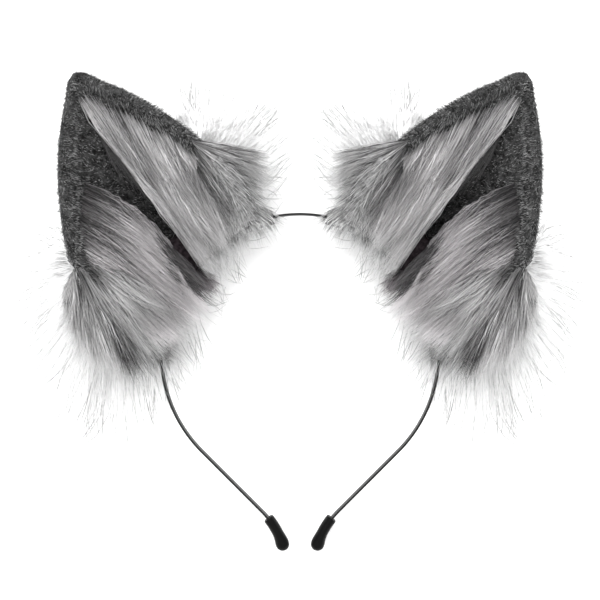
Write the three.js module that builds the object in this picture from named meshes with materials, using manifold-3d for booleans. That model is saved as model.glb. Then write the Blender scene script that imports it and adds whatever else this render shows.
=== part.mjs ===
// A wolf ear headband, lying on its back: two cupped plush ears with long fur round their feet,
// on a flat spring steel hoop whose ends sit in rubber caps. Millimetres, +Z up.
//
// The pieces are worked out upright, as the headband is worn: X to the right, Y to the back, Z up,
// with the origin at the middle of the hoop's round part. The last lines lay the whole part down.
import * as THREE from "three";
import { mergeVertices } from "three/addons/utils/BufferGeometryUtils.js";
import Module from "manifold-3d";

const wasm = await Module();
wasm.setup();

// Hoop: a flat strip bent to a round crown, with straight legs that turn down into the caps.
const HOOP_RADIUS = 61; // to the middle of the strip
const HOOP_HALF_SWEEP = 135; // degrees of the round part on each side of the crown
const LEG_LENGTH = 37.5; // straight stretch below the round part
const LEG_BEND_RADIUS = 37; // of the bend that runs on through the cap
const LEG_BEND_BEFORE_CAP = 4; // stretch of that bend that shows above the cap
const STRIP_WIDTH = 5; // front to back
const STRIP_THICKNESS = 0.9;
const ARC_STEP = 6; // degrees from one facet of the strip to the next

// End caps: soft sleeves with a round, thicker end.
const CAP_LENGTH = 16;
const CAP_THICKNESS = 4.7;
const CAP_BULB = 5.9; // thickness of the round end
const CAP_DEPTH = 7; // front to back
const CAP_TONGUE = 9; // length of strip inside the cap
const CAP_SIDES = 12;

// Ears: where they stand on the hoop, and the outline and hollow of the padded plush wall.
const EAR_PLACE = 55.4; // degrees along the hoop, from the crown to the middle of the foot
const EAR_LEAN = 28.9; // degrees that the ear's axis leans outwards
const EAR_HEIGHT = 100.6; // from the hoop to the tip
const EAR_HALF_WIDTH = 41.5;
const EAR_CUP = 23; // depth of the hollow at the foot
const EAR_FORWARD = 8; // how far the rim stands in front of the hoop at the foot
const EAR_WALL = 3;
const RIM_WIDTH = 8.5; // the wall's edge is turned over to the front this wide
const RIM_RISE = 3.6; // and stands this far above the wall
const RIM_SLOPE = 1.2; // width of the step from the rim down to the wall
const LINING_THICKNESS = 2;

// Fur: a padded foot round the hoop and a ruff round the bottom of each ear carry the long locks.
const FOOT_FROM = 11; // degrees from the crown to the foot's inner end
const FOOT_TO = 93; // degrees from the crown to its outer end
const FOOT_REACH = 24; // how far it stands out from the hoop
const FOOT_BELOW = 3.2; // how far it goes inside the hoop
const FOOT_HALF_DEPTH = 11;
const FOOT_BACK = 4; // how far its middle lies behind the hoop
const RUFF = 5; // thickness of the fur round the ear's bottom
const FUR_BEHIND = 4; // depth that is left of it between the ear's back and the surface under it
const COLLAR_DEPTH = 11; // the collar's locks lie this far in front of the hoop, or behind it
const COLLAR_LOCK_WIDTH = 18;
const TUFT_LOCK_WIDTH = 13;
const TUFT_FORWARD = 13; // how far in front of the hoop the tips of the tufts lie
const TUFT_SAG = 4; // how far a tuft sinks into the ear on its way
const LOCK_THICKNESS = 5;
const LOCK_SIDES = 6;

const GAP = 0.3; // clearance between pieces that touch

// One row for each height of the ear, from its foot to its tip.
// height: share of EAR_HEIGHT; width: share of EAR_HALF_WIDTH; cup: share of EAR_CUP;
// forward: share of EAR_FORWARD; thick: share of the wall's and rim's thickness.
const EAR_SECTIONS = [
  { height: 0.04, width: 0.93, cup: 0.92, forward: 1.0, thick: 1 },
  { height: 0.2, width: 1.0, cup: 1.0, forward: 1.0, thick: 1 },
  { height: 0.35, width: 0.96, cup: 0.92, forward: 0.95, thick: 1 },
  { height: 0.5, width: 0.83, cup: 0.73, forward: 0.85, thick: 1 },
  { height: 0.65, width: 0.66, cup: 0.5, forward: 0.7, thick: 1 },
  { height: 0.8, width: 0.44, cup: 0.27, forward: 0.5, thick: 1 },
  { height: 0.92, width: 0.22, cup: 0.1, forward: 0.3, thick: 0.95 },
  { height: 0.975, width: 0.12, cup: 0.03, forward: 0.2, thick: 0.75 },
  { height: 1.0, width: 0.015, cup: 0, forward: 0.18, thick: 0.1 },
];

// One row for each place along the padded foot, from its inner end to its outer end.
// along: share of the foot's stretch of hoop; reach: share of FOOT_REACH; depth: share of FOOT_HALF_DEPTH.
const FOOT_SECTIONS = [
  { along: 0.0, reach: 0.12, depth: 0.42 },
  { along: 0.1, reach: 0.36, depth: 0.72 },
  { along: 0.3, reach: 0.5, depth: 1.0 },
  { along: 0.55, reach: 0.72, depth: 1.0 },
  { along: 0.75, reach: 1.0, depth: 0.95 },
  { along: 0.88, reach: 0.72, depth: 0.8 },
  { along: 1.0, reach: 0.14, depth: 0.42 },
];

// The ruff's upper edge, as shares of EAR_HEIGHT: it stands higher on the side near the crown.
const RUFF_TOP = { outer: 0.22, inner: 0.45 };

// Locks of fur, one in each row, from its root to its tip.
// across and toAcross: share of EAR_HALF_WIDTH from the ear's axis, towards the crown positive;
// up and toUp: share of EAR_HEIGHT; back and toBack: share of COLLAR_DEPTH behind the hoop.
const FRONT_COLLAR = [
  { across: -0.94, up: 0.2, back: -1.1, toAcross: -1.52, toUp: 0.12, toBack: -0.6 },
  { across: -0.9, up: 0.19, back: -1.4, toAcross: -1.48, toUp: -0.13, toBack: -0.7 },
  { across: -0.8, up: 0.17, back: -1.5, toAcross: -1.2, toUp: -0.33, toBack: -0.8 },
  { across: -0.66, up: 0.12, back: -1.2, toAcross: -0.8, toUp: -0.36, toBack: -0.8 },
  { across: -0.3, up: 0.04, back: -0.3, toAcross: -0.34, toUp: -0.28, toBack: -0.6 },
  { across: 0.3, up: 0.06, back: -0.3, toAcross: 0.34, toUp: -0.16, toBack: -0.6 },
  { across: 0.76, up: 0.28, back: -1.4, toAcross: 0.84, toUp: -0.06, toBack: -0.9 },
  { across: 0.9, up: 0.3, back: -1.4, toAcross: 1.16, toUp: -0.03, toBack: -0.8 },
  { across: 0.92, up: 0.38, back: -1.4, toAcross: 1.5, toUp: 0.18, toBack: -0.7 },
  { across: 0.92, up: 0.42, back: -1.1, toAcross: 1.52, toUp: 0.36, toBack: -0.5 },
];
const BACK_COLLAR = [
  { across: -0.85, up: 0.14, back: 0.1, toAcross: -1.42, toUp: 0.42, toBack: 0.6 },
  { across: -0.85, up: 0.12, back: 0.2, toAcross: -1.76, toUp: 0.2, toBack: 0.6 },
  { across: -0.85, up: 0.1, back: 0.2, toAcross: -1.96, toUp: -0.06, toBack: 0.5 },
  { across: -0.8, up: 0.08, back: 0.2, toAcross: -1.9, toUp: -0.33, toBack: 0.3 },
  { across: -0.72, up: 0.06, back: 0.3, toAcross: -1.5, toUp: -0.5, toBack: 0.2 },
  { across: -0.52, up: 0.05, back: 0.4, toAcross: -1.02, toUp: -0.45, toBack: 0.3 },
  { across: -0.2, up: 0.04, back: 0.6, toAcross: -0.5, toUp: -0.3, toBack: 0.6 },
  { across: 0.5, up: 0.08, back: 0.5, toAcross: 0.7, toUp: -0.06, toBack: 0.8 },
  { across: 0.82, up: 0.16, back: 0.3, toAcross: 1.25, toUp: 0.1, toBack: 0.6 },
  { across: 0.88, up: 0.26, back: 0.2, toAcross: 1.62, toUp: 0.32, toBack: 0.5 },
  { across: 0.88, up: 0.3, back: 0.1, toAcross: 1.56, toUp: 0.54, toBack: 0.5 },
  { across: 0.82, up: 0.34, back: 0.0, toAcross: 1.2, toUp: 0.64, toBack: 0.4 },
];

// The locks of the tufts start on the lining, and their tips lie in front of the foot.
const UPPER_TUFT = [
  { across: 0.04, up: 0.88, toAcross: 0.2, toUp: -0.12 },
  { across: 0.2, up: 0.79, toAcross: 0.34, toUp: -0.04 },
  { across: 0.36, up: 0.69, toAcross: 0.48, toUp: -0.1 },
  { across: 0.51, up: 0.58, toAcross: 0.62, toUp: 0.0 },
  { across: 0.63, up: 0.46, toAcross: 0.76, toUp: -0.06 },
  { across: 0.7, up: 0.36, toAcross: 0.86, toUp: 0.02 },
];
const LOWER_TUFT = [
  { across: -0.5, up: 0.56, toAcross: 0.12, toUp: -0.06 },
  { across: -0.62, up: 0.46, toAcross: 0.06, toUp: -0.18 },
  { across: -0.7, up: 0.37, toAcross: -0.04, toUp: -0.16 },
  { across: -0.74, up: 0.29, toAcross: -0.1, toUp: -0.26 },
  { across: -0.74, up: 0.21, toAcross: -0.24, toUp: -0.22 },
];

const radians = THREE.MathUtils.degToRad;
const { lerp, clamp, smoothstep } = THREE.MathUtils;

// The value of one column of a table at a place between its rows, on a smooth curve through them.
function between(table, key, column, at) {
  const last = table.length - 1;
  let i = 0;
  while (i < last - 1 && at > table[i + 1][key]) i++;
  const [a, b] = [table[i], table[i + 1]];
  const span = b[key] - a[key];
  const t = clamp((at - a[key]) / span, 0, 1);
  const before = table[Math.max(i - 1, 0)];
  const after = table[Math.min(i + 2, last)];
  const slopeA = ((b[column] - before[column]) / (b[key] - before[key])) * span;
  const slopeB = ((after[column] - a[column]) / (after[key] - a[key])) * span;
  const [t2, t3] = [t * t, t * t * t];
  return (
    a[column] * (2 * t3 - 3 * t2 + 1) +
    slopeA * (t3 - 2 * t2 + t) +
    b[column] * (3 * t2 - 2 * t3) +
    slopeB * (t3 - t2)
  );
}

// A closed surface through rings of points, with a flat end on the first and the last ring.
function loft(rings) {
  const sides = rings[0].length;
  const points = rings.flat();
  const faces = [];
  for (let i = 0; i + 1 < rings.length; i++)
    for (let j = 0; j < sides; j++) {
      const [a, b] = [i * sides + j, i * sides + ((j + 1) % sides)];
      faces.push(a, b, b + sides, a, b + sides, a + sides);
    }
  const lastRing = (rings.length - 1) * sides;
  for (const [a, b, c] of flatEnd(rings[0])) faces.push(a, c, b);
  for (const [a, b, c] of flatEnd(rings[rings.length - 1]))
    faces.push(lastRing + a, lastRing + b, lastRing + c);
  const geometry = new THREE.BufferGeometry().setFromPoints(points);
  geometry.setIndex(faces);
  return facingOut(geometry);
}

// The triangles of a flat ring, wound as the ring is.
function flatEnd(ring) {
  const normal = new THREE.Vector3();
  ring.forEach((p, i) => normal.add(p.clone().cross(ring[(i + 1) % ring.length])));
  normal.normalize();
  const side = ring[1].clone().sub(ring[0]).normalize();
  const up = normal.clone().cross(side);
  const flat = ring.map((p) => new THREE.Vector2(p.dot(side), p.dot(up)));
  return THREE.ShapeUtils.triangulateShape(flat, []);
}

// The same surface, turned round if its faces point inwards.
function facingOut(geometry) {
  const position = geometry.getAttribute("position");
  const index = geometry.getIndex().array;
  const [a, b, c] = [new THREE.Vector3(), new THREE.Vector3(), new THREE.Vector3()];
  let volume = 0;
  for (let i = 0; i < index.length; i += 3) {
    [a, b, c].forEach((p, k) => p.fromBufferAttribute(position, index[i + k]));
    volume += a.dot(b.cross(c));
  }
  if (volume < 0)
    for (let i = 0; i < index.length; i += 3)
      [index[i + 1], index[i + 2]] = [index[i + 2], index[i + 1]];
  return geometry;
}

// A closed surface as a solid that can be joined and cut.
function solidOf(geometry) {
  const bare = new THREE.BufferGeometry();
  bare.setAttribute("position", geometry.getAttribute("position").clone());
  if (geometry.getIndex()) bare.setIndex(geometry.getIndex().clone());
  const merged = mergeVertices(bare, 1e-3);
  return new wasm.Manifold(
    new wasm.Mesh({
      numProp: 3,
      vertProperties: merged.getAttribute("position").array,
      triVerts: new Uint32Array(merged.getIndex().array),
    }),
  );
}

// The largest body of a solid as geometry, without the slivers that a cut leaves beside it.
function mainBody(solid) {
  const main = solid.decompose().reduce((a, b) => (b.volume() > a.volume() ? b : a));
  const mesh = main.getMesh();
  const geometry = new THREE.BufferGeometry();
  geometry.setAttribute("position", new THREE.BufferAttribute(mesh.vertProperties, 3));
  geometry.setIndex(new THREE.BufferAttribute(mesh.triVerts, 1));
  return geometry;
}

// Points closer than a thousandth are merged once more, which sets the last thin slivers loose.
function geometryOf(solid) {
  return mainBody(solidOf(mainBody(solid)));
}

// The same geometry for the other side of the headband.
function mirrored(geometry) {
  const copy = geometry.clone().scale(-1, 1, 1);
  const index = copy.getIndex().array;
  for (let i = 0; i < index.length; i += 3)
    [index[i + 1], index[i + 2]] = [index[i + 2], index[i + 1]];
  return copy;
}

// Hoop: the left half of its middle line, from the crown down, by distance from the crown.
const ROUND_LENGTH = HOOP_RADIUS * radians(HOOP_HALF_SWEEP);
const CAP_MOUTH = ROUND_LENGTH + LEG_LENGTH + LEG_BEND_BEFORE_CAP;

function hoopAt(distance) {
  const round = Math.min(distance, ROUND_LENGTH) / HOOP_RADIUS;
  const place = new THREE.Vector2(-Math.sin(round), Math.cos(round)).multiplyScalar(HOOP_RADIUS);
  let heading = Math.PI + round; // of travel, from +X towards +Z
  const straight = clamp(distance - ROUND_LENGTH, 0, LEG_LENGTH);
  place.add(new THREE.Vector2(Math.cos(heading), Math.sin(heading)).multiplyScalar(straight));
  const bent = Math.max(distance - ROUND_LENGTH - LEG_LENGTH, 0) / LEG_BEND_RADIUS;
  place.x += LEG_BEND_RADIUS * (Math.sin(heading) - Math.sin(heading - bent));
  place.y += LEG_BEND_RADIUS * (Math.cos(heading - bent) - Math.cos(heading));
  heading -= bent;
  const outward = new THREE.Vector2(Math.sin(heading), -Math.cos(heading));
  return { place, outward };
}

function hoopStations() {
  const arcs = Math.ceil(HOOP_HALF_SWEEP / ARC_STEP);
  const bendLength = LEG_BEND_BEFORE_CAP + CAP_TONGUE;
  const bends = Math.ceil(bendLength / 3);
  const stations = [];
  for (let i = 0; i <= arcs; i++) stations.push(((i + 0.5) / (arcs + 0.5)) * ROUND_LENGTH);
  for (let i = 0; i <= bends; i++)
    stations.push(ROUND_LENGTH + LEG_LENGTH + (i / bends) * bendLength);
  return stations;
}

// The strip, or the room that it needs when a clearance is added all round.
function strip(grow) {
  const half = STRIP_THICKNESS / 2 + grow;
  const left = hoopStations().map(hoopAt);
  const side = (sign) =>
    left.map(({ place, outward }) => place.clone().addScaledVector(outward, sign * half));
  const whole = (points) => [
    ...points.map((p) => new THREE.Vector2(-p.x, p.y)).reverse(),
    ...points,
  ];
  const outline = new THREE.Shape([...whole(side(1)), ...whole(side(-1)).reverse()]);
  const depth = STRIP_WIDTH + 2 * grow;
  const geometry = new THREE.ExtrudeGeometry(outline, { depth, bevelEnabled: false });
  return geometry.translate(0, 0, -depth / 2).rotateX(Math.PI / 2);
}

// End cap: oval sections along the bend, closed by a round end, with a slot for the strip.
function endCap() {
  const sections = [
    { at: 0.0, thickness: CAP_THICKNESS, depth: CAP_DEPTH },
    { at: 0.3, thickness: CAP_THICKNESS, depth: CAP_DEPTH },
    { at: 0.62, thickness: lerp(CAP_THICKNESS, CAP_BULB, 0.35), depth: CAP_DEPTH },
  ];
  const bulbCentre = 1 - CAP_BULB / 2 / CAP_LENGTH;
  for (const turn of [0, 30, 55, 75, 88]) {
    const [inwards, onwards] = [Math.cos(radians(turn)), Math.sin(radians(turn))];
    sections.push({
      at: bulbCentre + onwards * (1 - bulbCentre),
      thickness: CAP_BULB * inwards,
      depth: CAP_DEPTH * inwards,
    });
  }
  const rings = sections.map(({ at, thickness, depth }) => {
    const { place, outward } = hoopAt(CAP_MOUTH + at * CAP_LENGTH);
    return Array.from({ length: CAP_SIDES }, (_, j) => {
      const angle = (j / CAP_SIDES) * 2 * Math.PI;
      const out = (Math.cos(angle) * thickness) / 2;
      const back = (Math.sin(angle) * depth) / 2;
      return new THREE.Vector3(place.x + outward.x * out, back, place.y + outward.y * out);
    });
  });
  return geometryOf(solidOf(loft(rings)).subtract(solidOf(strip(GAP))));
}

const EAR_HEIGHTS = [0.04, 0.18, 0.34, 0.5, 0.64, 0.76, 0.86, 0.93, 0.975, 1];
const WALL_STEPS = 8; // facets of the wall from one rim to the other
const RIM_STEPS = 4; // facets round the edge of a rim
const FOOT_STEPS = 8;
const FOOT_SIDES = 10;

// The width of a lock along its length, as a share of its full width.
const LOCK_TAPER = [
  { along: 0, width: 0.7 },
  { along: 0.45, width: 1 },
  { along: 1, width: 0.04 },
];

// Ear: a place given across the ear, up its axis and behind the hoop, in the upright frame.
const FOOT_PLACE = new THREE.Vector2(-Math.sin(radians(EAR_PLACE)), Math.cos(radians(EAR_PLACE)));
FOOT_PLACE.multiplyScalar(HOOP_RADIUS);

function onEar(across, up, back) {
  const [c, s] = [Math.cos(radians(EAR_LEAN)), Math.sin(radians(EAR_LEAN))];
  return new THREE.Vector3(
    FOOT_PLACE.x + across * c - up * s,
    back,
    FOOT_PLACE.y + across * s + up * c,
  );
}

// The ear's wall at one height, as a curve across the ear: its middle line, and how thick it is.
function earWall(height) {
  const column = (name) => between(EAR_SECTIONS, "height", name, height);
  const thick = column("thick");
  const half = EAR_HALF_WIDTH * column("width");
  const roll = ((EAR_WALL + RIM_RISE) / 2) * thick;
  const edge = Math.max(half - roll, 0.05);
  const cup = EAR_CUP * column("cup");
  const front = -EAR_FORWARD * column("forward");
  const backwards = (share) => new THREE.Vector2(2 * cup * share, edge).normalize();
  const at = (share, offset) =>
    new THREE.Vector2(share * edge, front + cup * (1 - share * share)).addScaledVector(
      backwards(share),
      offset,
    );
  return { at, backwards, edge, thick, roll, inner: (half - RIM_WIDTH) / edge };
}

// The plush wall with its turned rim, or the room that it takes when it grows all round.
function earShell(growAt) {
  const rings = EAR_HEIGHTS.map((height) => {
    const { at, backwards, edge, thick, roll, inner } = earWall(height);
    const grow = growAt(height);
    const wall = (EAR_WALL / 2) * thick + grow;
    const rim = wall + RIM_RISE * thick;
    const rise = clamp(inner + RIM_SLOPE / edge, 0.1, 0.96);
    const foot = clamp(inner, 0.05, 0.93);
    const flat = Array.from({ length: WALL_STEPS + 1 }, (_, i) =>
      lerp(-foot, foot, i / WALL_STEPS),
    );
    const shares = [-1, -rise, ...flat, rise, 1];
    const depthAt = (share) => (Math.abs(share) > foot ? rim : wall);
    const edgeArc = (sign) =>
      Array.from({ length: RIM_STEPS - 1 }, (_, i) => {
        const angle = ((i + 1) / RIM_STEPS) * Math.PI;
        const back = backwards(sign);
        const onward = new THREE.Vector2(back.y, -back.x).multiplyScalar(sign);
        return at(sign, (wall - rim) / 2)
          .addScaledVector(back, Math.cos(angle) * (roll + grow))
          .addScaledVector(onward, Math.sin(angle) * (roll + grow));
      });
    const ring = [
      ...shares.map((share) => at(share, wall)),
      ...edgeArc(1),
      ...shares.map((share) => at(share, -depthAt(share))).reverse(),
      ...edgeArc(-1).reverse(),
    ];
    return ring.map((p) => onEar(p.x, grownUp(height, EAR_HEIGHTS, grow), p.y));
  });
  return loft(rings);
}

// How far up the ear a section lies, with the first and the last moved out by what is added.
function grownUp(height, heights, grow) {
  const end = (height === heights.at(-1) ? 1 : 0) - (height === heights[0] ? 1 : 0);
  return height * EAR_HEIGHT + end * grow;
}

// The plush panel inside the rim, on the front of the wall.
function earLining(grow) {
  const heights = EAR_HEIGHTS.filter((height) => earWall(height).inner * earWall(height).edge > 4);
  const rings = heights.map((height) => {
    const { at, edge, inner } = earWall(height);
    const side = inner - (GAP - grow) / edge;
    const shares = Array.from({ length: WALL_STEPS + 1 }, (_, i) =>
      lerp(-side, side, i / WALL_STEPS),
    );
    const behind = EAR_WALL / 2 + GAP - grow;
    const before = EAR_WALL / 2 + GAP + LINING_THICKNESS + grow;
    const ring = [
      ...shares.map((share) => at(share, -behind)),
      ...shares.map((share) => at(share, -before)).reverse(),
    ];
    return ring.map((p) => onEar(p.x, grownUp(height, heights, grow), p.y));
  });
  return loft(rings);
}

// Padded foot: oval sections along the hoop, from near the crown to the outer end of the fur.
function earFoot(grow) {
  const rings = Array.from({ length: FOOT_STEPS + 1 }, (_, i) => {
    const along = i / FOOT_STEPS;
    const angle = radians(lerp(FOOT_FROM, FOOT_TO, along));
    const reach = FOOT_REACH * between(FOOT_SECTIONS, "along", "reach", along) + grow;
    const depth = FOOT_HALF_DEPTH * between(FOOT_SECTIONS, "along", "depth", along) + grow;
    const below = FOOT_BELOW + grow;
    return Array.from({ length: FOOT_SIDES }, (_, j) => {
      const turn = (j / FOOT_SIDES) * 2 * Math.PI;
      const out = (reach - below) / 2 + ((reach + below) / 2) * Math.cos(turn);
      const back = FOOT_BACK * Math.min(1, depth / FOOT_HALF_DEPTH) + depth * Math.sin(turn);
      const radius = HOOP_RADIUS + out;
      return new THREE.Vector3(-Math.sin(angle) * radius, back, Math.cos(angle) * radius);
    });
  });
  return loft(rings);
}

// One lock of fur: flat six-sided sections along its way, from a broad root to a point.
function lock(row, width, backAt, grow) {
  const root = new THREE.Vector2(row.across * EAR_HALF_WIDTH, row.up * EAR_HEIGHT);
  const tip = new THREE.Vector2(row.toAcross * EAR_HALF_WIDTH, row.toUp * EAR_HEIGHT);
  const onward = tip.clone().sub(root).normalize();
  const rings = LOCK_TAPER.map(({ along, width: share }) => {
    const place = root.clone().lerp(tip, along).addScaledVector(onward, along ? grow : -grow);
    return Array.from({ length: LOCK_SIDES }, (_, j) => {
      const turn = (j / LOCK_SIDES) * 2 * Math.PI;
      const sideways = Math.cos(turn) * ((width / 2) * share + grow);
      return onEar(
        place.x - onward.y * sideways,
        place.y + onward.x * sideways,
        backAt(row, along) + Math.sin(turn) * ((LOCK_THICKNESS / 2) * share + grow),
      );
    });
  });
  return solidOf(loft(rings));
}

function joined(solids) {
  return solids.reduce((a, b) => a.add(b));
}

const collarBack = (row, along) => COLLAR_DEPTH * lerp(row.back, row.toBack, along);

// A tuft's lock leaves the lining's face, sinks a little and comes forward over the foot.
function tuftBack(row, along) {
  const { edge, at } = earWall(row.up);
  const share = clamp((row.across * EAR_HALF_WIDTH) / edge, -1, 1);
  const lining = at(share, -(EAR_WALL / 2 + GAP + LINING_THICKNESS)).y;
  return lerp(lining, -TUFT_FORWARD, along) + TUFT_SAG * Math.sin(along * Math.PI);
}

const tuft = (table, grow) =>
  joined(table.map((row) => lock(row, TUFT_LOCK_WIDTH, tuftBack, grow)));

// The fur round the ear's bottom, thinner towards its upper edge.
function ruff() {
  const grown = earShell((height) =>
    lerp(RUFF, RUFF / 3, smoothstep(height, RUFF_TOP.outer / 2, RUFF_TOP.inner)),
  );
  const slope = ((RUFF_TOP.inner - RUFF_TOP.outer) * EAR_HEIGHT) / (2 * EAR_HALF_WIDTH);
  const middle = ((RUFF_TOP.outer + RUFF_TOP.inner) / 2) * EAR_HEIGHT;
  const above = new THREE.BoxGeometry(CUT_SIZE, CUT_SIZE, CUT_SIZE);
  above.translate(0, 0, CUT_SIZE / 2).rotateY(-Math.atan(slope) - radians(EAR_LEAN));
  const place = onEar(0, middle, 0);
  above.translate(place.x, place.y, place.z);
  return solidOf(grown).subtract(solidOf(above)).subtract(solidOf(earLining(RUFF / 2)));
}

const CUT_SIZE = 10 * HOOP_RADIUS; // of the blocks that cut the fur
const REST_SPOT = onEar(0, EAR_HEIGHT * 0.12, 0).z; // height of the spot that the ear's back lies on
const EAR_BACK = EAR_CUP - EAR_FORWARD + EAR_WALL / 2;
const CAP_END = hoopAt(CAP_MOUTH + CAP_LENGTH - CAP_BULB / 2).place.y;
const REST_TILT = Math.atan((EAR_BACK + FUR_BEHIND - CAP_DEPTH / 2) / (REST_SPOT - CAP_END));

// Everything behind the surface that the part lies on, in the upright frame.
function behindTheSurface() {
  const block = new THREE.BoxGeometry(CUT_SIZE, CUT_SIZE, CUT_SIZE);
  block.translate(0, CUT_SIZE / 2, 0).rotateX(-REST_TILT);
  return solidOf(block.translate(0, CAP_DEPTH / 2, CAP_END));
}

// Everything on the other ear's side of the headband, where the two collars press together.
function pastTheMiddle() {
  const block = new THREE.BoxGeometry(CUT_SIZE, CUT_SIZE, CUT_SIZE);
  return solidOf(block.translate(CUT_SIZE / 2 - GAP, 0, 0));
}

function earPieces() {
  const foot = (grow) => solidOf(earFoot(grow));
  const shellRoom = solidOf(earShell(() => GAP));
  const liningRoom = solidOf(earLining(GAP));
  const clear = (fur) => fur.subtract(shellRoom).subtract(liningRoom);
  const locks = [...FRONT_COLLAR, ...BACK_COLLAR].map((row) =>
    lock(row, COLLAR_LOCK_WIDTH, collarBack, 0),
  );
  const collar = foot(0)
    .add(clear(ruff().add(joined(locks))))
    .subtract(solidOf(strip(GAP)))
    .subtract(behindTheSurface())
    .subtract(pastTheMiddle())
    .subtract(tuft(UPPER_TUFT, GAP))
    .subtract(tuft(LOWER_TUFT, GAP));
  return {
    ear_shell: solidOf(earShell(() => 0)).subtract(foot(GAP)),
    ear_lining: solidOf(earLining(0)).subtract(foot(GAP)),
    upper_tuft: clear(tuft(UPPER_TUFT, 0)).subtract(tuft(LOWER_TUFT, GAP)),
    lower_tuft: clear(tuft(LOWER_TUFT, 0)),
    fur_collar: collar,
  };
}

const plush = new THREE.MeshStandardMaterial({ color: 0x3a3a3c, roughness: 1 });
const innerFur = new THREE.MeshStandardMaterial({ color: 0xb4b3b5, roughness: 0.9 });
const collarFur = new THREE.MeshStandardMaterial({ color: 0xa2a1a3, roughness: 0.9 });
const steel = new THREE.MeshStandardMaterial({ color: 0xb0b2b5, roughness: 0.3, metalness: 1 });
const rubber = new THREE.MeshStandardMaterial({ color: 0x18181a, roughness: 0.6 });
const EAR_MATERIALS = {
  ear_shell: plush,
  ear_lining: plush,
  upper_tuft: innerFur,
  lower_tuft: innerFur,
  fur_collar: collarFur,
};

const headband = new THREE.Group();

function addPiece(name, geometry, material) {
  const mesh = new THREE.Mesh(geometry, material);
  mesh.name = name;
  headband.add(mesh);
}

addPiece("hoop", strip(0), steel);
const capGeometry = endCap();
addPiece("end_cap_left", capGeometry, rubber);
addPiece("end_cap_right", mirrored(capGeometry), rubber);
for (const [name, solid] of Object.entries(earPieces())) {
  const geometry = geometryOf(solid);
  addPiece(name + "_left", geometry, EAR_MATERIALS[name]);
  addPiece(name + "_right", mirrored(geometry), EAR_MATERIALS[name]);
}

// Laid on its back, with the fur behind the ears and the backs of the caps on the surface.
headband.rotation.x = REST_TILT - Math.PI / 2;
headband.updateMatrixWorld(true);
const box = new THREE.Box3().setFromObject(headband, true);
headband.position.set(0, -(box.min.y + box.max.y) / 2, -box.min.z);

const part = new THREE.Group();
part.add(headband);
export default part;
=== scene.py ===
# The wolf ear headband, dressed: a steel hoop, rubber end caps, plush ears and long faux fur.
# It lies on its back on a pale floor, with the fronts of the ears towards the camera above.
import math

import bpy
import numpy as np
from mathutils import Matrix, Vector


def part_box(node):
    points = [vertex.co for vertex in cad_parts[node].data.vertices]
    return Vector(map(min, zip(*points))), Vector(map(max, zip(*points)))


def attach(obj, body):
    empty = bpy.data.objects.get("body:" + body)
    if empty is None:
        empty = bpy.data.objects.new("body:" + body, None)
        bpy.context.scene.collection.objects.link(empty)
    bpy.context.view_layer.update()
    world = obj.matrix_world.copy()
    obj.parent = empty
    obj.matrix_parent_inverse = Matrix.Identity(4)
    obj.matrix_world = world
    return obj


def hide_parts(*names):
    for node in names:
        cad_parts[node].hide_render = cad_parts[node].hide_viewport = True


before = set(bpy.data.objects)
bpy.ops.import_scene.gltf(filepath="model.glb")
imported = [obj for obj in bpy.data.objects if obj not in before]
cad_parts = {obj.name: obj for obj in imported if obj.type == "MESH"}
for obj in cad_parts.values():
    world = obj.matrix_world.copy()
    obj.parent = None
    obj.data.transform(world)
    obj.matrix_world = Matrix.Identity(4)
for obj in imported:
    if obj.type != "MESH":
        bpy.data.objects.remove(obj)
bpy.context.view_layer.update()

# How it lies. The pieces are worked out as the headband is worn: X to the right, Y to the back and
# Z up, from the middle of the hoop's round part. The matrix "worn" lays such a piece down. It is
# read off the hoop's box, of which the strip's own width is a part, so the tilt is found in steps.
STRIP_WIDTH = 0.005
STRIP_THICKNESS = 0.0009
HOOP_RADIUS = 0.061
TILT_STEPS = 8

hoop_low, hoop_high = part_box("hoop")
tilt = 0.0
for _ in range(TILT_STEPS):
    tilt = math.atan2(
        hoop_high.z - hoop_low.z - STRIP_WIDTH * math.cos(tilt),
        hoop_high.y - hoop_low.y - STRIP_WIDTH * math.sin(tilt),
    )
crown = HOOP_RADIUS + STRIP_THICKNESS / 2
worn = Matrix.Translation(
    (
        0,
        hoop_high.y - STRIP_WIDTH / 2 * math.sin(tilt) - crown * math.cos(tilt),
        hoop_high.z - STRIP_WIDTH / 2 * math.cos(tilt) - crown * math.sin(tilt),
    )
) @ Matrix.Rotation(tilt - math.pi / 2, 4, "X")


# Camera, floor and light. The camera looks square at the hoop from the front, which is from above
# here. The floor is a plain pale sheet, lit by a bright soft sky and one wide lamp.
PICTURE_WIDTH = 0.264  # what the photograph shows across the hoop's plane
PICTURE_CENTRE_UP = 0.0233
CAMERA_DISTANCE = 0.42
FLOOR_SIZE = 8
SKY_STRENGTH = 1.65
LAMP_SIZE = 0.9
LAMP_POWER = 12
LAMP_PLACE = (-0.25, 0.5, 1.1)
LAMP_AIM = Vector((0, 0.02, 0))

camera = bpy.data.objects.new("camera", bpy.data.cameras.new("camera"))
bpy.context.scene.collection.objects.link(camera)
camera.data.lens = camera.data.sensor_width * CAMERA_DISTANCE / PICTURE_WIDTH
camera.matrix_world = (
    worn
    @ Matrix.Translation((0, -CAMERA_DISTANCE, PICTURE_CENTRE_UP))
    @ Matrix.Rotation(math.pi / 2, 4, "X")
)
bpy.context.scene.camera = camera


def add_node(tree, kind, inputs=None, **settings):
    """A shader node with its settings, and each input set to a value or linked to a socket."""
    made = tree.nodes.new(kind)
    for name, value in settings.items():
        setattr(made, name, value)
    for name, value in (inputs or {}).items():
        if isinstance(value, bpy.types.NodeSocket):
            tree.links.new(value, made.inputs[name])
        else:
            made.inputs[name].default_value = value
    return made


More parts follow.
